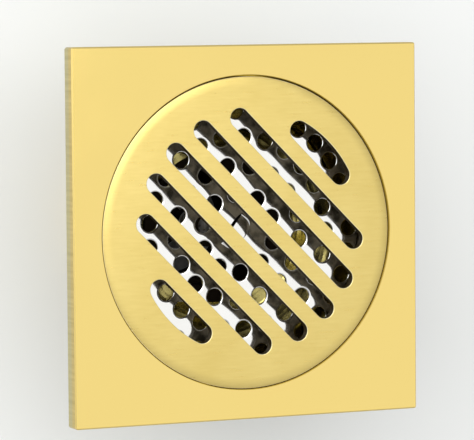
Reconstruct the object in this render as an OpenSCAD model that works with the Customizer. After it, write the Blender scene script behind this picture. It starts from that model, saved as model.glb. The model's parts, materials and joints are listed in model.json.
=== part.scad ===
// Square floor drain: a brass plate with a lift-out slotted grate, a punched strainer, a bowl,
// and a spring-valve core in the outlet that closes against odour.
// +Z is up. The origin is the centre of the plate's underside, which beds on the floor.

/* [Plate] */
// Side of the square plate
plate_w = 100; // [98:0.5:120]
// Thickness of the plate
plate_t = 5; // [4.5:0.5:7]
// Radius of the plate's vertical corners
plate_corner_r = 0.8; // [0.5:0.1:3]
// Chamfer along the plate's top edges
plate_chamfer = 0.35; // [0.2:0.05:0.6]

/* [Grate] */
// Diameter of the round grate
grate_d = 83.4; // [83:0.1:83.6]
// Radial gap between the grate and its recess
grate_gap = 0.3; // [0.25:0.05:0.4]
// Thickness of the grate
grate_t = 3.2; // [2.8:0.1:3.5]
// How far the grate's face sits below the plate's face
grate_sink = 0.2; // [0:0.1:0.4]
// Width of the slots
slot_w = 5.4; // [4:0.1:5.6]
// Distance from slot to slot
slot_pitch = 9.65; // [9:0.05:9.7]
// Radius of the circle that the slots' ends touch
slot_field_r = 33.2; // [32.8:0.1:34]
// How far the slot pattern sits off the disc's centre, along and across the slots
slot_shift = [0.5, 0.9]; // [0:0.1:1]
// How far the loose grate rests off centre, in X and in Y
grate_slack = 0.1; // [0:0.02:0.12]

/* [Strainer] */
// Diameter of the strainer disc
strainer_d = 74.5; // [74:0.1:75.5]
// Thickness of the strainer's sheet
strainer_t = 0.6; // [0.5:0.1:0.8]
// How far the strainer's face lies below the plate's underside
strainer_drop = 2; // [1.8:0.1:2.4]
// Diameter of the punched holes
hole_d = 4.4; // [3:0.1:4.8]
// How far the loose strainer rests off centre
strainer_slack = 0.6; // [0:0.1:0.8]
// Length of the finger tab's cut edge
tab_l = 10; // [9:0.1:12]
// Width of the finger tab
tab_w = 4.5; // [4:0.1:5]
// Height of the finger tab's cut edge above the strainer
tab_h = 0.3; // [0.2:0.1:1.2]

/* [Outlet] */
// Outer diameter of the spigot
spigot_d = 42; // [41:0.5:43]
// Wall of the spigot
spigot_wall = 2; // [1.8:0.1:2]
// Depth of the spigot's end below the plate's underside
spigot_depth = 64; // [64:1:90]
// Travel of the valve
valve_travel = 6; // [3:0.5:6]

/* [Hidden] */
$fn = 96;
eps = 0.01;
press_gap = 0.02;
slide_gap = 0.05;
screw_gap = 0.2;
seat_gap = 0.4;

plate_top = plate_t;
grate_top = plate_top - grate_sink;
ledge_z = grate_top - grate_t;
recess_r = grate_d / 2 + grate_gap;
recess_chamfer = 0.15;
edge_field_r = slot_field_r - 0.3;
throat_r = 38.5;

boss_r = 45;
boss_z = -3;
pocket_roof = 2.5;
pocket_rim = 3.5;
pocket_inner_r = plate_w / 2 - pocket_rim + 1;
rib_w = 2.5;

gasket_t = 1;
flange_top = boss_z - gasket_t;
flange_t = 3;
flange_bottom = flange_top - flange_t;
flange_r = 44.8;
upstand_r = 38;
bowl_r = 35.5;
bowl_wall = 2.5;
curve_top = -9;
floor_z = -18;
floor_r = 22.5;
curve_steps = 16;

spigot_r = spigot_d / 2;
spigot_bore_r = spigot_r - spigot_wall;
shoulder_r = spigot_r + 0.5;
collar_r = shoulder_r + 3;
collar_bottom = -34;
core_flange_t = 1.6;
core_flange_r = spigot_bore_r + 1.5;
shelf_z = floor_z - core_flange_t;
shelf_t = 1.5;
spigot_top = shelf_z - shelf_t;
spigot_end = -spigot_depth;
shoulder_z = -50;

screw_r = 1.5;
screw_ring_r = 41.5;
screw_top = 0.5;
washer_t = 0.5;
washer_r = 3.1;
screw_head_r = 2.7;
screw_head_h = 1.9;
screw_angles = [0, 90, 180, 270];

seal_top = -36;
seal_bottom = -48;
seal_sleeve_r = shoulder_r + 1.2;
seal_fin_r = spigot_r + 2.6;
seal_fins = 4;

strainer_top = -strainer_drop;
strainer_bottom = strainer_top - strainer_t;
ring_r = [10.6, 18.2, 25.9, 33.1];
ring_count = [10, 17, 25, 32];
ring_phase = [-14.6, -6.6, -0.4, 0.7];
tab_ramp = 1.2;
tab_turn = 52;
lance_gap = 0.8;

core_r = spigot_bore_r - 0.6;
core_bore_r = core_r - 1.8;
core_bottom = -50;
seat_bore_r = core_bore_r - 2;
seat_t = 1.6;
step_r = core_bore_r - 1.3;
step_top = -38;
step_bottom = -41;
groove_r = core_r - 1.1;
groove_w = 1.8;
groove_z = [-24, -28.5];
o_ring_wire_r = 0.8;

bridge_ring_h = 4;
bridge_top = step_top + bridge_ring_h;
arm_w = 2.2;
hub_r = 4;
bush_r = 2.6;
bush_flange_r = 3.6;
bush_flange_t = 0.5;
stem_r = 1.5;
stem_bore_r = stem_r + slide_gap;
spring_bottom = bridge_top + bush_flange_t;
spring_r = 3.9;
spring_wire_r = 0.35;
spring_turns = 4.5;
flat_turns = 0.75;
spring_top = spring_bottom + valve_travel + 2 * spring_wire_r * (spring_turns + 1);
cap_r = 5.6;
cap_t = 1.4;
clip_t = 0.6;
clip_r = 3;
clip_z = spring_top + cap_t;
clip_groove_r = 1.1;
stem_top = clip_z + clip_t + 1.2;

valve_seal_t = 1.2;
valve_seal_r = core_r - 0.9;
disc_top = core_bottom - slide_gap - valve_seal_t;
disc_t = 2;
disc_r = valve_seal_r - 1.2;
disc_boss_r = 4.5;
disc_washer_t = 0.5;
disc_washer_r = 4;
nut_t = 2.2;
nut_r = 3.1;
nut_top = disc_top - disc_t - disc_washer_t;
stem_bottom = nut_top - nut_t - 0.6;

brass = "#d9bf73";
brass_dark = "#b79a4f";
steel = "#d4d7da";
black_plastic = "#26282b";
dark_plastic = "#45433c";
rubber = "#33312f";

// ---------- shared shapes ----------

// Square with round corners
module round_square(w, r) {
    square([w, w - 2 * r], center = true);
    square([w - 2 * r, w], center = true);
    for (x = [-1, 1], y = [-1, 1])
        translate([x * (w / 2 - r), y * (w / 2 - r)]) circle(r);
}

// Disc or ring from z down to z - t
module ring(outer, inner, z, t) {
    translate([0, 0, z - t]) difference() {
        cylinder(r = outer, h = t);
        if (inner > 0) translate([0, 0, -1]) cylinder(r = inner, h = t + 2);
    }
}

// Solid cylinder between two heights
module post(r, top, bottom) {
    translate([0, 0, bottom]) cylinder(r = r, h = top - bottom);
}

// The same child at each of the four screw places
module at_screws() {
    for (a = screw_angles)
        rotate(a + 45) translate([screw_ring_r, 0, 0]) children();
}

// ---------- plate ----------

// Prism that takes the chamfer off one top edge
module edge_cutter() {
    translate([plate_w / 2, 0, plate_top]) rotate([0, 45, 0])
        cube([plate_chamfer * sqrt(2), plate_w * 2, plate_chamfer * sqrt(2)], center = true);
}

// Hollow corners of the underside, each crossed by a rib that keys into the mortar
module mortar_pockets() {
    translate([0, 0, -1]) linear_extrude(pocket_roof + 1) difference() {
        square(plate_w - 2 * pocket_rim, center = true);
        circle(pocket_inner_r);
        for (a = [45, 135]) rotate(a) square([plate_w * 2, rib_w], center = true);
    }
}

module frame_plate() {
    color(brass) difference() {
        union() {
            linear_extrude(plate_t) round_square(plate_w, plate_corner_r);
            post(boss_r, pocket_roof, boss_z);
        }
        for (a = [0, 90, 180, 270]) rotate(a) edge_cutter();
        mortar_pockets();
        post(recess_r, plate_top + 1, ledge_z);
        translate([0, 0, plate_top - recess_chamfer])
            cylinder(r1 = recess_r, r2 = recess_r + 2 * recess_chamfer, h = 2 * recess_chamfer);
        post(throat_r, plate_top, boss_z - 1);
        at_screws() post(screw_r, screw_top, boss_z - 1);
    }
}

// ---------- grate ----------

// Slot with round ends, centred, along X
module long_slot(offset_v) {
    cap_r = slot_w / 2;
    half = sqrt(pow(slot_field_r - cap_r, 2) - offset_v * offset_v);
    translate([0, offset_v]) {
        square([2 * half, slot_w], center = true);
        for (x = [-half, half]) translate([x, 0]) circle(cap_r);
    }
}

// Short slot at the edge of the field: straight inside, round outside
module edge_slot() {
    cap_r = slot_w / 2;
    inner_v = 3 * slot_pitch - slot_w / 2;
    cap_v = inner_v + cap_r;
    cap_u = sqrt(pow(edge_field_r - cap_r, 2) - cap_v * cap_v);
    reach = edge_field_r * 2;
    for (x = [-cap_u, cap_u]) translate([x, cap_v]) circle(cap_r);
    intersection() {
        circle(edge_field_r);
        polygon([
            [-cap_u, inner_v], [cap_u, inner_v], [cap_u, cap_v],
            [cap_u, cap_v] * reach / cap_v, [-cap_u, cap_v] * reach / cap_v, [-cap_u, cap_v]
        ]);
    }
}

module slot_field() {
    rotate(-45) translate(slot_shift) {
        for (i = [-2:2]) long_slot(i * slot_pitch);
        edge_slot();
        mirror([0, 1]) edge_slot();
    }
}

module grate() {
    r = grate_d / 2;
    rim_w = 3.6;
    relief = 0.8;
    top_ease = 0.25;
    bottom_ease = 0.3;
    color(brass) translate([-grate_slack, -grate_slack]) difference() {
        rotate_extrude() polygon([
            [0, ledge_z + relief], [r - rim_w, ledge_z + relief], [r - rim_w, ledge_z],
            [r - bottom_ease, ledge_z], [r, ledge_z + bottom_ease],
            [r, grate_top - top_ease], [r - top_ease, grate_top], [0, grate_top]
        ]);
        translate([0, 0, ledge_z - 1]) linear_extrude(grate_t + 2) slot_field();
    }
}

// ---------- strainer ----------

// Block that is tab_h high along its cut edge and slopes down to z = 0 on the other three sides
module tab_block(low) {
    half_l = tab_l / 2;
    half_w = tab_w / 2;
    intersection() {
        rotate([90, 0, 0]) linear_extrude(tab_w, center = true) polygon([
            [-half_l, low], [half_l, low], [half_l, 0],
            [half_l - tab_ramp, tab_h], [tab_ramp - half_l, tab_h], [-half_l, 0]
        ]);
        rotate([90, 0, 90]) linear_extrude(tab_l, center = true)
            polygon([[-half_w, low], [half_w, low], [half_w, tab_h], [-half_w, 0]]);
    }
}

module strainer() {
    color(steel) translate([0, -strainer_slack, strainer_top]) difference() {
        union() {
            translate([0, 0, -strainer_t]) cylinder(r = strainer_d / 2, h = strainer_t);
            rotate(tab_turn) tab_block(-strainer_t);
        }
        rotate(tab_turn) {
            translate([0, 0, -strainer_t]) tab_block(-1);
            translate([-tab_l / 2, tab_w / 2 - eps, -strainer_t - 1])
                cube([tab_l, lance_gap, tab_h + strainer_t + 2]);
        }
        for (i = [0:len(ring_r) - 1], k = [0:ring_count[i] - 1])
            rotate(ring_phase[i] + k * 360 / ring_count[i]) translate([ring_r[i], 0, -strainer_t - 1])
                cylinder(d = hole_d, h = strainer_t + 2, $fn = 32);
    }
}

// ---------- bowl and outlet ----------

// Quarter ellipse from the bowl's upright wall, at radius r_wall, down towards its floor
function bowl_curve(r_wall, depth, turn) = [
    for (k = [0:curve_steps]) let (a = turn * k / curve_steps)
        [floor_r + (r_wall - floor_r) * cos(a), curve_top - depth * sin(a)]
];

module trap_bowl() {
    seat_r = core_flange_r + seat_gap;
    depth = curve_top - floor_z;
    collar_turn = acos((collar_r - floor_r) / (upstand_r - floor_r));
    outside = bowl_curve(upstand_r, depth + bowl_wall, collar_turn);
    color(brass_dark) difference() {
        rotate_extrude() polygon(concat(
            [[bowl_r, strainer_bottom]],
            bowl_curve(bowl_r, depth, 90),
            [
                [seat_r, floor_z], [seat_r, shelf_z], [spigot_bore_r, shelf_z],
                [spigot_bore_r, spigot_top], [shoulder_r, spigot_top], [shoulder_r, collar_bottom],
                [collar_r, collar_bottom]
            ],
            [for (k = [curve_steps:-1:0]) outside[k]],
            [
                [upstand_r, flange_bottom], [flange_r, flange_bottom], [flange_r, flange_top],
                [upstand_r, flange_top], [upstand_r, strainer_bottom]
            ]
        ));
        at_screws() post(screw_r + screw_gap, flange_top + 1, flange_bottom - 1);
    }
}

module bowl_gasket() {
    color(rubber) difference() {
        ring(flange_r - seat_gap, throat_r + seat_gap, boss_z, gasket_t);
        at_screws() post(screw_r + screw_gap, boss_z + 1, flange_top - 1);
    }
}

module bowl_screws() {
    head_top = flange_bottom - washer_t;
    head_bottom = head_top - screw_head_h;
    head_taper = 0.6;
    tip_gap = 0.1;
    cross_w = 0.7;
    cross_l = 3.3;
    cross_depth = 1.1;
    color(steel) at_screws() difference() {
        union() {
            post(screw_r - press_gap, screw_top - tip_gap, head_top - eps);
            translate([0, 0, head_bottom])
                cylinder(r1 = screw_head_r - head_taper, r2 = screw_head_r, h = screw_head_h);
        }
        for (a = [0, 90]) rotate(a)
            translate([0, 0, head_bottom]) cube([cross_l, cross_w, cross_depth * 2], center = true);
    }
}

module bowl_washers() {
    color(steel) at_screws() ring(washer_r, screw_r + screw_gap, flange_bottom, washer_t);
}

module outlet_spigot() {
    lead = 0.8;
    color(brass_dark) rotate_extrude() polygon([
        [spigot_bore_r, spigot_end], [spigot_r - lead, spigot_end], [spigot_r, spigot_end + lead],
        [spigot_r, shoulder_z], [shoulder_r, shoulder_z], [shoulder_r, spigot_top],
        [spigot_bore_r, spigot_top]
    ]);
}

module pipe_seal() {
    fin_pitch = (seal_top - seal_bottom) / seal_fins;
    fin_t = 1.1;
    fin_root = 0.3;
    first_fin = 0.5;
    color(rubber) difference() {
        union() {
            post(seal_sleeve_r, seal_top, seal_bottom);
            for (i = [0:seal_fins - 1])
                translate([0, 0, seal_bottom + first_fin + i * fin_pitch])
                    cylinder(r1 = seal_sleeve_r - fin_root, r2 = seal_fin_r, h = fin_t);
        }
        post(shoulder_r + press_gap, seal_top + 1, seal_bottom - 1);
    }
}

// ---------- core ----------

module core_housing() {
    color(black_plastic) difference() {
        rotate_extrude() polygon([
            [core_bore_r, floor_z], [core_flange_r, floor_z], [core_flange_r, shelf_z],
            [core_r, shelf_z], [core_r, core_bottom], [seat_bore_r, core_bottom],
            [seat_bore_r, core_bottom + seat_t], [core_bore_r, core_bottom + 2 * seat_t],
            [core_bore_r, step_bottom], [step_r, step_bottom + core_bore_r - step_r], [step_r, step_top],
            [core_bore_r, step_top]
        ]);
        for (z = groove_z) ring(core_r + 1, groove_r, z + groove_w / 2, groove_w);
    }
}

module core_o_rings() {
    color(rubber) for (z = groove_z) translate([0, 0, z])
        rotate_extrude() translate([groove_r + o_ring_wire_r + press_gap, 0]) circle(o_ring_wire_r, $fn = 24);
}

module core_bridge() {
    ring_r_out = core_bore_r - slide_gap;
    ring_t = 1.2;
    color(dark_plastic) difference() {
        union() {
            ring(ring_r_out, ring_r_out - ring_t, bridge_top, bridge_ring_h);
            post(hub_r, bridge_top, step_top);
            for (a = [90, 210, 330]) rotate(a)
                translate([bush_r + eps, -arm_w / 2, step_top])
                    cube([ring_r_out - ring_t / 2 - bush_r, arm_w, bridge_ring_h]);
        }
        post(bush_r, bridge_top + 1, step_top - 1);
    }
}

module guide_bush() {
    tail = 0.4;
    color(brass) difference() {
        union() {
            post(bush_r - eps, bridge_top + eps, step_top - tail);
            post(bush_flange_r, spring_bottom, bridge_top);
        }
        post(stem_bore_r, bridge_top + 2, step_top - 2);
    }
}

// ---------- valve ----------

module valve_stem() {
    color(steel) difference() {
        post(stem_r, stem_top, stem_bottom);
        ring(stem_r + 1, clip_groove_r, clip_z + clip_t, clip_t);
    }
}

// Height of the spring's centre line, t from 0 to 1; the end turns lie flat
function spring_z(t) =
    spring_bottom + spring_wire_r + (spring_top - spring_bottom - 2 * spring_wire_r) *
    min(1, max(0, (t * spring_turns - flat_turns) / (spring_turns - 2 * flat_turns)));
// Point on the spring's wire, a degrees round it
function spring_point(t, a) =
    let (turn = t * spring_turns * 360, reach = spring_r + spring_wire_r * cos(a))
    [reach * cos(turn), reach * sin(turn), spring_z(t) + spring_wire_r * sin(a)];

module valve_spring() {
    steps = 120;
    sides = 8;
    points = [
        for (i = [0:steps], k = [0:sides - 1]) spring_point(i / steps, k * 360 / sides)
    ];
    skin = [
        for (i = [0:steps - 1], k = [0:sides - 1])
            let (a = i * sides + k, b = i * sides + (k + 1) % sides) [a, a + sides, b + sides, b]
    ];
    first = [for (k = [0:sides - 1]) k];
    last = [for (k = [0:sides - 1]) steps * sides + sides - 1 - k];
    color(steel) polyhedron(points, concat([first], skin, [last]));
}

module spring_cap() {
    skirt_t = 0.8;
    skirt_h = 1.2;
    color(dark_plastic) difference() {
        union() {
            post(cap_r, spring_top + cap_t, spring_top);
            ring(cap_r, cap_r - skirt_t, spring_top + eps, skirt_h);
        }
        post(stem_bore_r, spring_top + cap_t + 1, spring_top - 1);
    }
}

module stem_clip() {
    mouth = 1.6;
    color(steel) difference() {
        ring(clip_r, clip_groove_r + press_gap, clip_z + clip_t - press_gap, clip_t - 2 * press_gap);
        translate([0, -mouth / 2, clip_z - 1]) cube([clip_r + 1, mouth, clip_t + 2]);
    }
}

module valve_disc() {
    edge_t = 0.8;
    color(dark_plastic) difference() {
        union() {
            rotate_extrude() polygon([
                [0, disc_top], [disc_r, disc_top], [disc_r, disc_top - edge_t],
                [disc_boss_r, disc_top - disc_t], [0, disc_top - disc_t]
            ]);
            post(disc_boss_r, disc_top + valve_seal_t - slide_gap, disc_top - eps);
        }
        post(stem_bore_r, disc_top + 3, disc_top - disc_t - 1);
    }
}

module valve_seal() {
    color(rubber) ring(valve_seal_r, disc_boss_r + 2 * slide_gap, disc_top + valve_seal_t, valve_seal_t);
}

module disc_washer() {
    color(steel) ring(disc_washer_r, stem_bore_r, disc_top - disc_t, disc_washer_t);
}

module stem_nut() {
    color(steel) difference() {
        translate([0, 0, nut_top - nut_t]) cylinder(r = nut_r, h = nut_t, $fn = 6);
        post(stem_r + press_gap, nut_top + 1, nut_top - nut_t - 1);
    }
}

frame_plate();
grate();
strainer();
trap_bowl();
bowl_gasket();
bowl_screws();
bowl_washers();
outlet_spigot();
pipe_seal();
core_housing();
core_o_rings();
core_bridge();
guide_bush();
valve_stem();
valve_spring();
spring_cap();
stem_clip();
valve_disc();
valve_seal();
disc_washer();
stem_nut();
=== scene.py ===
"""Looks of a square brass floor drain: detailed grate, strainer and spring, materials, light and camera.

Everything is in metres in the frame of the CAD model: up is +Z, and the origin is the middle of the plate's
underside.
"""
import json
import math

import bmesh
import bpy
from mathutils import Matrix, Vector


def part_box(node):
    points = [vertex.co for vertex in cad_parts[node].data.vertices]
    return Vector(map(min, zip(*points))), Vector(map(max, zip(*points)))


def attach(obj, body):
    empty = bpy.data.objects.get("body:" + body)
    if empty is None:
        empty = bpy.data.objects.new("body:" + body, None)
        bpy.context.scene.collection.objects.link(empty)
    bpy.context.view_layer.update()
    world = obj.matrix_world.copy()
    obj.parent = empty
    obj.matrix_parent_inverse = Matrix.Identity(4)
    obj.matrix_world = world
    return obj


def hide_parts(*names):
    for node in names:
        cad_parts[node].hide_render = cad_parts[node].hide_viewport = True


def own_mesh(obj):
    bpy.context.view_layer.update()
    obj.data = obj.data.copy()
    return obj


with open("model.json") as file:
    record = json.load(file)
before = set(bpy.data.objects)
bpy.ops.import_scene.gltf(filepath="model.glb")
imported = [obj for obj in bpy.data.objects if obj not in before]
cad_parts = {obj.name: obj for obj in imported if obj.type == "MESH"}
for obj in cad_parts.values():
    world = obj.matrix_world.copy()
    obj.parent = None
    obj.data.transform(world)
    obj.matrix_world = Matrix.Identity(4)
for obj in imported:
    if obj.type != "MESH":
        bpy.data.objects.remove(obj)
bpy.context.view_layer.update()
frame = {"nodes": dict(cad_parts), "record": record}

MM = 0.001


# ---------- places taken from the frame ----------

def corners(node):
    """Lowest and highest corner of a CAD node."""
    return [Vector(corner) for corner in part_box(node)]


FACE_Z = corners("frame_plate")[1].z
FLOOR_Z = corners("outlet_spigot")[0].z

grate_low, grate_high = corners("grate")
grate_mid = (grate_low + grate_high) / 2
GRATE_R = (grate_high.x - grate_low.x) / 2

sheet_low, sheet_high = corners("strainer")
sheet_mid = (sheet_low + sheet_high) / 2
SHEET_R = (sheet_high.x - sheet_low.x) / 2

spring_low, spring_high = corners("valve_spring")


# ---------- sizes, the same as in part.scad ----------

# The grate's slots, its thicker rim and the relief inside it
SLOT_W = 5.4 * MM
SLOT_PITCH = 9.65 * MM
SLOT_FIELD_R = 33.2 * MM
EDGE_FIELD_R = 32.9 * MM
SLOT_SHIFT = (0.5 * MM, 0.9 * MM)
SLOT_TURN = math.radians(-45)
GRATE_RIM_W = 3.6 * MM
GRATE_RELIEF = 0.8 * MM

# The strainer's punched holes, ring by ring, with the angle of each ring's first hole in degrees
SHEET_T = 0.6 * MM
HOLE_R = 2.2 * MM
RING_R = [10.6 * MM, 18.2 * MM, 25.9 * MM, 33.1 * MM]
RING_COUNT = [10, 17, 25, 32]
RING_PHASE = [-14.6, -6.6, -0.4, 0.7]

# The strainer's finger tab
TAB_L = 10 * MM
TAB_W = 4.5 * MM
TAB_H = 0.3 * MM
TAB_RAMP = 1.2 * MM
TAB_TURN = math.radians(52)
LANCE_GAP = 0.8 * MM

SPRING_TURNS = 4.5
SPRING_WIRE_R = 0.35 * MM


# ---------- mesh helpers ----------

def turned(point, angle, centre):
    """A 2-D point turned about the origin, then moved to centre."""
    u, v = point
    return (centre.x + u * math.cos(angle) - v * math.sin(angle),
            centre.y + u * math.sin(angle) + v * math.cos(angle))


def arc(centre_u, centre_v, radius, start, end, count):
    """Points on an arc, angles in degrees, both ends included."""
    points = []
    for k in range(count + 1):
        a = math.radians(start + (end - start) * k / count)
        points.append((centre_u + radius * math.cos(a), centre_v + radius * math.sin(a)))
    return points


def circle(radius, count):
    """Points round a circle about the origin."""
    return arc(0, 0, radius, 0, 360, count)[:-1]


def add_loop(bm, outline, z, angle, centre):
    """A closed loop of vertices at one height, the outline turned by angle about centre."""
    return [bm.verts.new((*turned(p, angle, centre), z)) for p in outline]


def bridge_loops(bm, first, second):
    """Quads between two loops with the same number of vertices."""
    count = len(first)
    for k in range(count):
        bm.faces.new((first[k], first[(k + 1) % count], second[(k + 1) % count], second[k]))


def loft(bm, loops):
    """Joins each loop to the next."""
    for first, second in zip(loops, loops[1:]):
        bridge_loops(bm, first, second)


def fill_between(bm, loops):
    """Flat face between an outer loop and the loops inside it."""
    edges = []
    for loop in loops:
        for k in range(len(loop)):
            pair = (loop[k], loop[(k + 1) % len(loop)])
            edges.append(bm.edges.get(pair) or bm.edges.new(pair))
    bmesh.ops.triangle_fill(bm, edges=edges, use_beauty=True)


def eased_edge(top, radius, steps):
    """Quarter circle from a flat face down into an opening's wall, as (growth of the opening, z) pairs."""
    pairs = []
    for k in range(steps + 1):
        a = math.radians(90 * k / steps)
        pairs.append((radius * (1 - math.sin(a)), top - radius * (1 - math.cos(a))))
    return pairs


def finish_mesh(bm, name, smooth_angle=50):
    """Makes the object and smooths it across soft edges, but not across edges marked as creases."""
    bmesh.ops.recalc_face_normals(bm, faces=bm.faces)
    bm.edges.index_update()
    creases = [edge.index for edge in bm.edges if not edge.smooth]
    mesh = bpy.data.meshes.new(name)
    bm.to_mesh(mesh)
    bm.free()
    for polygon in mesh.polygons:
        polygon.use_smooth = True
    mesh.set_sharp_from_angle(angle=math.radians(smooth_angle))
    for index in creases:
        mesh.edges[index].use_edge_sharp = True
    piece = bpy.data.objects.new(name, mesh)
    bpy.context.scene.collection.objects.link(piece)
    weighted = piece.modifiers.new("weighted", "WEIGHTED_NORMAL")
    weighted.keep_sharp = True
    weighted.weight = 100
    return piece


# ---------- grate ----------

def long_slot(row, growth):
    """Outline of a slot with round ends, row 0 through the middle of the field."""
    steps = 20
    cap = SLOT_W / 2
    cap_v = row * SLOT_PITCH
    cap_u = math.sqrt((SLOT_FIELD_R - cap) ** 2 - cap_v ** 2)
    right = arc(cap_u, cap_v, cap + growth, -90, 90, steps)
    left = arc(-cap_u, cap_v, cap + growth, 90, 270, steps)
    return right + left


def edge_slot(row, growth):
    """Outline of a short slot at the edge of the field, row 3 or -3: straight inside, round outside."""
    cap_steps, back_steps = 16, 24
    cap = SLOT_W / 2
    cap_v = abs(row) * SLOT_PITCH
    cap_u = math.sqrt((EDGE_FIELD_R - cap) ** 2 - cap_v ** 2)
    lean = math.degrees(math.atan2(cap_v, cap_u))
    points = arc(cap_u, cap_v, cap + growth, -90, lean, cap_steps)
    points += arc(0, 0, EDGE_FIELD_R + growth, lean, 180 - lean, back_steps)[1:-1]
    points += arc(-cap_u, cap_v, cap + growth, 180 - lean, 270, cap_steps)
    return points if row > 0 else [(u, -v) for u, v in reversed(points)]


def rim_profile(top, bottom):
    """The grate's rim from its flat face round to the relief underneath, as (radius, z) pairs."""
    crown_w = 2.4 * MM
    crown_drop = 0.15 * MM
    edge_r = 0.22 * MM
    chamfer = 0.3 * MM
    crown_steps, edge_steps = 6, 4
    pairs = []
    for k in range(crown_steps + 1):
        t = k / crown_steps
        pairs.append((GRATE_R - edge_r - crown_w * (1 - t), top - crown_drop * t * t))
    shoulder = top - crown_drop
    for k in range(1, edge_steps + 1):
        a = math.radians(90 * k / edge_steps)
        pairs.append((GRATE_R - edge_r + edge_r * math.sin(a), shoulder - edge_r * (1 - math.cos(a))))
    pairs += [(GRATE_R, bottom + chamfer), (GRATE_R - chamfer, bottom)]
    inner = GRATE_R - GRATE_RIM_W
    return pairs + [(inner, bottom), (inner, bottom + GRATE_RELIEF)]


def make_grate():
    """Brushed disc with a softly crowned rim and slots with eased edges."""
    top, bottom = grate_high.z, grate_low.z
    ease_r = 0.22 * MM
    chamfer = 0.1 * MM
    rim_segments, ease_steps = 256, 4
    bm = bmesh.new()
    rim = [add_loop(bm, circle(r, rim_segments), z, 0, grate_mid) for r, z in rim_profile(top, bottom)]
    loft(bm, rim)

    field_mid = Vector((*turned(SLOT_SHIFT, SLOT_TURN, grate_mid), 0))
    under = bottom + GRATE_RELIEF
    wall = eased_edge(top, ease_r, ease_steps) + [(0, under + chamfer), (chamfer, under)]
    slots = [(long_slot, row) for row in (-2, -1, 0, 1, 2)] + [(edge_slot, row) for row in (-3, 3)]
    tops, unders = [rim[0]], [rim[-1]]
    for outline, row in slots:
        loops = [add_loop(bm, outline(row, growth), z, SLOT_TURN, field_mid) for growth, z in wall]
        loft(bm, loops)
        tops.append(loops[0])
        unders.append(loops[-1])
    fill_between(bm, tops)
    fill_between(bm, unders)
    return finish_mesh(bm, "grate_disc")


# ---------- strainer ----------

def tab_reach(q):
    """Half the tab's length, q from 0 at the cut edge to 1 at its root, where the corners are round."""
    return TAB_L / 2 * (1 - 0.5 * q ** 4)


def tab_rise(p, q):
    """Height of the tab above the sheet, p from -1 to 1 along the cut edge. The other sides stay down."""
    reach = tab_reach(q)
    ramp = max(0, (abs(p) * reach - reach + TAB_RAMP) / TAB_RAMP)
    return TAB_H * (1 - ramp ** 2) * (1 - q) ** 0.6


def add_tab(bm, top):
    """The finger tab, formed up out of the sheet. Returns its outlines in the upper and the lower face."""
    # The steps lie closer together at both ends of the cut and at the root, where the tab bends most
    along, deep = 40, 12
    steps = [math.sin(math.radians(90 * (2 * i / along - 1))) for i in range(along + 1)]
    across = [j / deep for j in range(deep)] + [0.96, 1.0]
    outlines, edges, cuts = [], [], []
    for z in (top, top - SHEET_T):
        rows = []
        for q in across:
            row = []
            for p in steps:
                x, y = turned((p * tab_reach(q), TAB_W * (0.5 - q)), TAB_TURN, sheet_mid)
                row.append(bm.verts.new((x, y, z + tab_rise(p, q))))
            rows.append(row)
        for upper, lower in zip(rows, rows[1:]):
            for i in range(along):
                bm.faces.new((upper[i], upper[i + 1], lower[i + 1], lower[i]))
        cut = [rows[0][0]]
        for p in steps[1:-1]:
            x, y = turned((p * tab_reach(0), TAB_W / 2 + LANCE_GAP * (1 - p ** 4)), TAB_TURN, sheet_mid)
            cut.append(bm.verts.new((x, y, z)))
        cut.append(rows[0][-1])
        root = [row[0] for row in rows[:-1]] + rows[-1] + [row[-1] for row in rows[-2::-1]]
        for pair in zip(root, root[1:]):
            bm.edges.get(pair).smooth = False
        outlines.append(root + cut[-2:0:-1])
        edges.append(rows[0])
        cuts.append(cut)
    # The two walls of the cut: the tab's own edge and the edge of the sheet that faces it
    for upper, lower in (edges, cuts):
        for i in range(along):
            bm.faces.new((upper[i], upper[i + 1], lower[i + 1], lower[i]))
    return outlines


def hole_profile(top, bottom):
    """Wall of a punched hole as (radius, z) pairs: a wide shallow dish, a tight lip and a straight wall."""
    rim_w = 0.2 * MM
    # Growth of the hole and depth below the sheet's face, in mm
    drawn_in = [
        (0.62, 0), (0.5, 0.005), (0.38, 0.016), (0.27, 0.032), (0.19, 0.048), (0.11, 0.078), (0.06, 0.113),
        (0.03, 0.149), (0.01, 0.192), (0, 0.3)
    ]
    pairs = [(HOLE_R + growth * MM, top - depth * MM) for growth, depth in drawn_in]
    # A narrow flat rim round the hole keeps the underside's long triangles away from the wall
    return pairs + [(HOLE_R, bottom), (HOLE_R + rim_w, bottom)]


def make_strainer():
    """Mirror-bright sheet, drawn in a little round each punched hole, with a finger tab in its middle."""
    bottom = sheet_low.z
    top = bottom + SHEET_T
    chamfer = 0.12 * MM
    rim_segments, hole_segments = 180, 36
    smooth_angle = 31
    bm = bmesh.new()
    edge = [(SHEET_R - chamfer, top), (SHEET_R, top - chamfer),
            (SHEET_R, bottom + chamfer), (SHEET_R - chamfer, bottom)]
    rim = [add_loop(bm, circle(r, rim_segments), z, 0, sheet_mid) for r, z in edge]
    loft(bm, rim)

    wall = hole_profile(top, bottom)
    tops, unders = [rim[0]], [rim[-1]]
    for radius, count, phase in zip(RING_R, RING_COUNT, RING_PHASE):
        for k in range(count):
            a = math.radians(phase + 360 * k / count)
            place = sheet_mid + Vector((radius * math.cos(a), radius * math.sin(a), 0))
            loops = [add_loop(bm, circle(r, hole_segments), z, 0, place) for r, z in wall]
            loft(bm, loops)
            tops.append(loops[0])
            unders.append(loops[-1])

    tab_top, tab_under = add_tab(bm, top)
    fill_between(bm, tops + [tab_top])
    fill_between(bm, unders + [tab_under])
    return finish_mesh(bm, "strainer_sheet", smooth_angle)


# ---------- spring ----------

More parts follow.
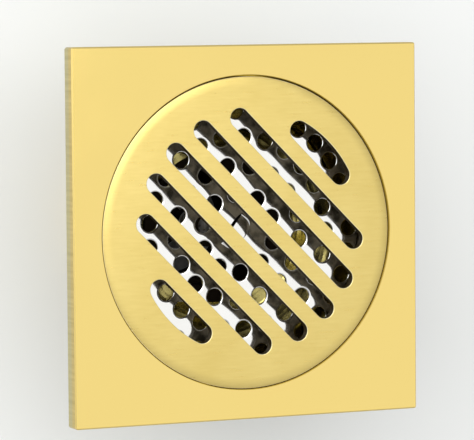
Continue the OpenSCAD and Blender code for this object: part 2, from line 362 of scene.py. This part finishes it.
def make_spring():
    """Coil spring with flat turns at both ends."""
    radius = (spring_high.x - spring_low.x) / 2 - SPRING_WIRE_R
    low, high = spring_low.z + SPRING_WIRE_R, spring_high.z - SPRING_WIRE_R
    flat_turns = 0.75
    steps, sides = 216, 12
    bm = bmesh.new()
    loops = []
    for i in range(steps + 1):
        turn = SPRING_TURNS * i / steps
        t = min(1, max(0, (turn - flat_turns) / (SPRING_TURNS - 2 * flat_turns)))
        z = low + (high - low) * t
        a = math.radians(turn * 360)
        loop = []
        for across, rise in circle(SPRING_WIRE_R, sides):
            reach = radius + across
            loop.append(bm.verts.new((reach * math.cos(a), reach * math.sin(a), z + rise)))
        loops.append(loop)
    loft(bm, loops)
    bm.faces.new(loops[0])
    bm.faces.new(loops[-1])
    return finish_mesh(bm, "spring_coil")


# ---------- materials ----------

class Material:
    """A principled material: plain values first, then procedural detail linked over them."""

    def __init__(self, name, color, metallic, roughness, **inputs):
        self.material = bpy.data.materials.new(name)
        self.material.use_nodes = True
        self.tree = self.material.node_tree
        self.shader = self.tree.nodes["Principled BSDF"]
        self.shader.inputs["Base Color"].default_value = (*color, 1)
        self.shader.inputs["Metallic"].default_value = metallic
        self.shader.inputs["Roughness"].default_value = roughness
        for key, value in inputs.items():
            self.shader.inputs[key.replace("_", " ")].default_value = value

    def node(self, kind, **values):
        """A new node with some of its settings."""
        node = self.tree.nodes.new(kind)
        for key, value in values.items():
            setattr(node, key, value)
        return node

    def link(self, out, to):
        """Joins an output to an input."""
        self.tree.links.new(out, to)

    def noise(self, scale, detail, stretch=(1, 1, 1), turn=(0, 0, 0)):
        """Noise in the object's own metres. A stretch below 1 along an axis draws it out into grain."""
        coordinates = self.node("ShaderNodeTexCoord")
        mapping = self.node("ShaderNodeMapping")
        mapping.inputs["Scale"].default_value = stretch
        mapping.inputs["Rotation"].default_value = turn
        texture = self.node("ShaderNodeTexNoise")
        texture.inputs["Scale"].default_value = scale
        texture.inputs["Detail"].default_value = detail
        texture.inputs["Roughness"].default_value = 0.55
        self.link(coordinates.outputs["Object"], mapping.inputs["Vector"])
        self.link(mapping.outputs["Vector"], texture.inputs["Vector"])
        return texture.outputs["Fac"]

    def remap(self, value, low, high, from_low=0.3, from_high=0.7):
        """Maps from_low..from_high, by default what most of a noise lies in, to low..high."""
        node = self.node("ShaderNodeMapRange")
        node.inputs["From Min"].default_value = from_low
        node.inputs["From Max"].default_value = from_high
        node.inputs["To Min"].default_value = low
        node.inputs["To Max"].default_value = high
        self.link(value, node.inputs["Value"])
        return node.outputs["Result"]

    def math(self, kind, a, b):
        """A sum, product or other function of two values, each a number or a socket."""
        node = self.node("ShaderNodeMath", operation=kind)
        for socket, value in zip(node.inputs, (a, b)):
            if isinstance(value, (int, float)):
                socket.default_value = value
            else:
                self.link(value, socket)
        return node.outputs["Value"]

    def mix(self, factor, first, second):
        """Mix of two colours, each a colour or a socket."""
        node = self.node("ShaderNodeMix", data_type="RGBA")
        self.link(factor, node.inputs["Factor"])
        for name, value in (("A", first), ("B", second)):
            socket = next(s for s in node.inputs if s.name == name and s.type == "RGBA")
            if isinstance(value, tuple):
                socket.default_value = (*value, 1)
            else:
                self.link(value, socket)
        return next(s for s in node.outputs if s.type == "RGBA")

    def facing_up(self, low=0.2, high=0.7):
        """0 where the upright part of a face's normal is below low, 1 where it is above high.

        That part is 1 on level tops, 0 on walls and -1 on undersides. With low above high the result is
        turned round: 1 below high, 0 above low.
        """
        geometry = self.node("ShaderNodeNewGeometry")
        split = self.node("ShaderNodeSeparateXYZ")
        self.link(geometry.outputs["True Normal"], split.inputs["Vector"])
        return self.remap(split.outputs["Z"], 0, 1, low, high)

    def height(self, low, high):
        """0 below the height low, 1 above high, in the object's own metres."""
        coordinates = self.node("ShaderNodeTexCoord")
        split = self.node("ShaderNodeSeparateXYZ")
        self.link(coordinates.outputs["Object"], split.inputs["Vector"])
        return self.remap(split.outputs["Z"], 0, 1, low, high)

    def off_axis(self, low, high):
        """0 nearer the upright axis than low, 1 farther than high, in the object's own metres."""
        coordinates = self.node("ShaderNodeTexCoord")
        flat = self.node("ShaderNodeVectorMath", operation="MULTIPLY")
        flat.inputs[1].default_value = (1, 1, 0)
        length = self.node("ShaderNodeVectorMath", operation="LENGTH")
        self.link(coordinates.outputs["Object"], flat.inputs[0])
        self.link(flat.outputs["Vector"], length.inputs[0])
        return self.remap(length.outputs["Value"], 0, 1, low, high)

    def color(self, socket):
        """Takes the base colour from a socket."""
        self.link(socket, self.shader.inputs["Base Color"])

    def metallic(self, socket):
        """Takes the metallic value from a socket."""
        self.link(socket, self.shader.inputs["Metallic"])

    def roughness(self, socket):
        """Takes the roughness from a socket."""
        self.link(socket, self.shader.inputs["Roughness"])

    def bump(self, *layers):
        """Chains height fields given as (socket, depth in metres)."""
        normal = None
        for height, depth in layers:
            bump = self.node("ShaderNodeBump")
            bump.inputs["Strength"].default_value = 1.0
            bump.inputs["Distance"].default_value = depth
            self.link(height, bump.inputs["Height"])
            if normal:
                self.link(normal, bump.inputs["Normal"])
            normal = bump.outputs["Normal"]
        self.link(normal, self.shader.inputs["Normal"])


def polished_brass():
    """The plate: polished face, upright brush marks on its sides under painted shade, painted shade in the
    recess round the grate, and a dimmer copy of the face colour on the outer chamfers.
    """
    m = Material("polished_brass", (0.93, 0.72, 0.24), 1.0, 0.16)
    # The sides are paler low down, the top face begins above the recess's ledge, and the recess ends at
    # this distance from the middle. Each is a soft step between two values.
    pale_below = (2 * MM, 3.2 * MM)
    face_above = (3.5 * MM, 4.5 * MM)
    recess_within = (42.4 * MM, 43.2 * MM)
    outside = m.off_axis(*recess_within)
    streaks = m.remap(m.noise(900, 2, (1, 1, 0.06)), 0, 1)
    # Painted shade: the sides are far darker than the face and paler low down; the streaks in them are
    # brush grain.
    lower = m.mix(streaks, (0.44, 0.39, 0.2), (0.56, 0.5, 0.26))
    upper = m.mix(streaks, (0.5, 0.38, 0.12), (0.64, 0.5, 0.19))
    shaded_side = m.mix(m.height(*pale_below), lower, upper)
    # Painted shade: inside the recess, its wall and the ledge under the grate are dark brown and not
    # metallic.
    wall = m.mix(outside, (0.42, 0.285, 0.035), shaded_side)
    # Painted shade: the outer chamfers take a dimmer copy of the face colour, which tones down their
    # highlight.
    chamfer = m.math("MINIMUM", m.facing_up(), outside)
    edge = m.mix(chamfer, wall, (0.75, 0.58, 0.2))
    cloud = m.remap(m.noise(22, 2), 0, 1)
    face = m.mix(cloud, (0.925, 0.715, 0.242), (0.925, 0.71, 0.236))
    flat = m.facing_up(0.75, 0.9)
    m.color(m.mix(m.math("MINIMUM", flat, m.height(*face_above)), edge, face))
    m.metallic(m.math("MAXIMUM", flat, outside))
    m.roughness(m.math("SUBTRACT", m.remap(m.noise(60, 4), 0.38, 0.42), m.math("MULTIPLY", flat, 0.3)))
    m.bump((m.noise(2500, 2), 0.000001), (m.noise(1400, 2, (1, 1, 0.05)), 0.000002))
    return m.material


def brushed_brass():
    """The grate: satin top with a fine grain; the eased slot edges carry a painted highlight, and the slot
    walls, the mottled underside and the outer wall in the gap round the grate carry painted shade.
    """
    m = Material("brushed_brass", (0.82, 0.64, 0.215), 1.0, 0.3, Specular_IOR_Level=0.08)
    rim_beyond = (41.5 * MM, 41.6 * MM)
    up = m.facing_up(0.25, 0.6)
    eased = m.facing_up(0.985, 0.95)
    grain = m.noise(1500, 3, (0.12, 1, 1), (0, 0, -SLOT_TURN))
    tone = m.math("ADD", m.math("MULTIPLY", grain, 0.45), m.math("MULTIPLY", m.noise(55, 3), 0.55))
    face = m.mix(m.remap(tone, 0, 1, 0.35, 0.65), (0.79, 0.61, 0.195), (0.86, 0.68, 0.24))
    # Painted shade: the underside is dark, mottled by noise, and the slot walls are darker still.
    under = m.mix(m.remap(m.noise(260, 4), 0, 1, 0.38, 0.62), (0.06, 0.052, 0.036), (0.33, 0.29, 0.22))
    shaded_below = m.mix(m.facing_up(-0.6, -0.3), under, (0.03, 0.02, 0.006))
    # Painted highlight: the eased slot edges are pale and less metallic.
    face_with_edge_highlight = m.mix(eased, face, (0.95, 0.84, 0.48))
    # Painted shade: the grate's outer wall, seen in the gap round the grate, is dark brown.
    rim = m.math("MINIMUM", m.off_axis(*rim_beyond), m.facing_up(0.8, 0.6))
    m.color(m.mix(rim, m.mix(up, shaded_below, face_with_edge_highlight), (0.36, 0.26, 0.03)))
    m.metallic(m.math("SUBTRACT", up, m.math("MULTIPLY", eased, 0.6)))
    m.roughness(m.math("SUBTRACT", m.remap(grain, 0.5, 0.58), m.math("MULTIPLY", up, 0.23)))
    m.bump((grain, 0.000003), (m.noise(4000, 2), 0.000001))
    return m.material


def mirror_steel():
    """The strainer: bright rolled sheet, a little wavy, with faint scratches."""
    m = Material("mirror_steel", (0.93, 0.92, 0.9), 1.0, 0.07)
    m.color(m.mix(m.remap(m.noise(70, 4), 0, 1), (0.985, 0.98, 0.955), (0.93, 0.925, 0.895)))
    m.roughness(m.remap(m.noise(300, 4), 0.04, 0.11))
    m.bump((m.noise(45, 1), 0.0014), (m.noise(2200, 2, (1, 0.03, 1)), 0.0000006))
    return m.material


def cast_brass():
    """The bowl: dull olive-brown brass with a cast, tumbled surface."""
    m = Material("cast_brass", (0.72, 0.56, 0.2), 1.0, 0.14)
    m.color(m.mix(m.remap(m.noise(75, 4), 0, 1), (0.4, 0.34, 0.11), (0.55, 0.47, 0.18)))
    m.roughness(m.remap(m.noise(180, 3), 0.09, 0.19))
    m.bump((m.noise(900, 3), 0.00001), (m.noise(160, 2), 0.00008))
    return m.material


def turned_brass():
    """Spigot and bush: turned on a lathe, with fine rings round the axis."""
    m = Material("turned_brass", (0.72, 0.56, 0.22), 1.0, 0.28)
    rings = m.noise(1800, 3, (0.02, 0.02, 1))
    m.color(m.mix(m.remap(m.noise(60, 3), 0, 1), (0.68, 0.52, 0.19), (0.77, 0.6, 0.25)))
    m.roughness(m.remap(rings, 0.24, 0.36))
    m.bump((rings, 0.000012), (m.noise(200, 3), 0.00001))
    return m.material


def bright_steel():
    """Screws, washers, stem, nut, clip and spring."""
    m = Material("bright_steel", (0.5, 0.49, 0.47), 1.0, 0.3)
    m.color(m.mix(m.remap(m.noise(400, 3), 0, 1), (0.44, 0.43, 0.41), (0.56, 0.55, 0.53)))
    m.roughness(m.remap(m.noise(900, 3), 0.24, 0.38))
    m.bump((m.noise(2600, 2), 0.000004))
    return m.material


def moulded_rubber(name, light, dark, rough):
    """Gasket, pipe seal, O-rings and the valve's silicone ring."""
    m = Material(name, light, 0.0, rough, Specular_IOR_Level=0.2)
    m.color(m.mix(m.remap(m.noise(260, 4), 0, 1), dark, light))
    m.roughness(m.remap(m.noise(600, 3), rough - 0.08, rough + 0.1))
    m.bump((m.noise(1500, 3), 0.00002))
    return m.material


def moulded_plastic(name, light, dark, rough):
    """Core housing, bridge, spring cap and valve disc, with a fine spark-eroded texture."""
    m = Material(name, light, 0.0, rough, Specular_IOR_Level=0.05)
    m.color(m.mix(m.remap(m.noise(120, 4), 0, 1), dark, light))
    m.roughness(m.remap(m.noise(500, 3), rough - 0.06, rough + 0.08))
    m.bump((m.noise(3200, 2), 0.00001), (m.noise(140, 2), 0.00002))
    return m.material


def studio_floor():
    """Plain pale floor with a trace of unevenness."""
    m = Material("studio_floor", (0.86, 0.87, 0.865), 0.0, 0.75)
    m.color(m.mix(m.remap(m.noise(4, 2), 0, 1), (0.855, 0.868, 0.86), (0.865, 0.878, 0.872)))
    return m.material


FINISHES = {
    "plate_brass": polished_brass(),
    "grate_brass": brushed_brass(),
    "strainer_steel": mirror_steel(),
    "bowl_brass": cast_brass(),
    "bush_brass": turned_brass(),
    "steel": bright_steel(),
    "black_rubber": moulded_rubber("black_rubber_finish", (0.04, 0.036, 0.03), (0.026, 0.023, 0.019), 0.55),
    "silicone": moulded_rubber("silicone_finish", (0.62, 0.62, 0.6), (0.52, 0.52, 0.5), 0.42),
    "black_plastic": moulded_plastic(
        "black_plastic_finish", (0.03, 0.021, 0.013), (0.018, 0.013, 0.009), 0.5),
    # Painted shade: the parts with this finish are near black, which keeps them dark where they show deep
    # down through the strainer's holes.
    "dark_plastic": moulded_plastic(
        "painted_shade_plastic_finish", (0.042, 0.032, 0.018), (0.03, 0.023, 0.012), 0.55),
}
SLOT_OF = {part["node"]: part["material_slot"] for part in frame["record"]["subparts"]}


def dress(piece, slot):
    """Gives a piece the finish of a record slot."""
    piece.data.materials.clear()
    piece.data.materials.append(FINISHES[slot])


def replace_node(piece, node, body):
    """A detailed piece that stands for one CAD node."""
    dress(piece, SLOT_OF[node])
    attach(piece, body)
    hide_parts(node)


for node_name, node_object in frame["nodes"].items():
    dress(node_object, SLOT_OF[node_name])

replace_node(make_grate(), "grate", "grate")
replace_node(make_strainer(), "strainer", "strainer")
spring = make_spring()
replace_node(spring, "valve_spring", "core")
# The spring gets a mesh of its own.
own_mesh(spring)


# ---------- stage, light and camera ----------

def make_floor():
    """Large plane that the spigot's lower end stands on."""
    reach = 4.0
    bm = bmesh.new()
    bmesh.ops.create_grid(bm, x_segments=1, y_segments=1, size=reach)
    mesh = bpy.data.meshes.new("floor")
    bm.to_mesh(mesh)
    bm.free()
    floor = bpy.data.objects.new("floor", mesh)
    floor.location.z = FLOOR_Z
    bpy.context.scene.collection.objects.link(floor)
    mesh.materials.append(studio_floor())


def softbox(name, direction, distance, size, power):
    """Rectangular area light that looks at the middle of the plate's face."""
    light = bpy.data.lights.new(name, "AREA")
    light.shape = "RECTANGLE"
    light.size, light.size_y = size
    light.energy = power
    lamp = bpy.data.objects.new(name, light)
    aim = Vector((0, 0, FACE_Z))
    lamp.location = aim + Vector(direction).normalized() * distance
    lamp.rotation_euler = (aim - lamp.location).to_track_quat("-Z", "Y").to_euler()
    bpy.context.scene.collection.objects.link(lamp)


def make_world(strength):
    """Even, nearly white light from all round."""
    world = bpy.data.worlds.new("studio")
    world.use_nodes = True
    background = world.node_tree.nodes["Background"]
    background.inputs["Color"].default_value = (1.0, 1.0, 0.99, 1)
    background.inputs["Strength"].default_value = strength
    bpy.context.scene.world = world


def make_camera():
    """Looks down on the plate from its left and a little from its +Y side, with a long lens."""
    yaw, pitch, roll = math.radians(24.065), math.radians(3.947), math.radians(0.473)
    distance = 0.883
    aim = Vector((-3.36 * MM, 3.48 * MM, FACE_Z))
    camera = bpy.data.objects.new("camera", bpy.data.cameras.new("camera"))
    camera.data.sensor_width = 36
    camera.data.lens = 252.15
    camera.data.clip_start = 0.01
    back = Vector((-math.sin(yaw) * math.cos(pitch), math.sin(pitch), math.cos(yaw) * math.cos(pitch)))
    right = Vector((0, 1, 0)).cross(back).normalized()
    up = back.cross(right)
    basis = Matrix((right, up, back)).transposed() @ Matrix.Rotation(-roll, 3, "Z")
    camera.matrix_world = Matrix.Translation(aim + back * distance) @ basis.to_4x4()
    bpy.context.scene.collection.objects.link(camera)
    bpy.context.scene.camera = camera


make_floor()
make_world(strength=0.58)

# The key lights the whole scene. The camera sees the other three mirrored: the sky in the flat faces, the
# rim in the grate's crown, and the edge in the eased edges that bound the bars towards -X and -Y.
softbox("key", direction=(-0.7, 0.5, 0.8), distance=1.0, size=(1.3, 1.3), power=10.2)
softbox("sky", direction=(0.35, -0.075, 0.93), distance=0.8, size=(0.34, 0.5), power=0.21)
softbox("rim", direction=(0.13, 0.2, 0.93), distance=0.8, size=(0.3, 0.3), power=0.66)
softbox("edge", direction=(-0.24, -0.71, 0.66), distance=0.8, size=(0.3, 0.3), power=0.35)

make_camera()
bpy.context.scene.view_settings.view_transform = "Standard"
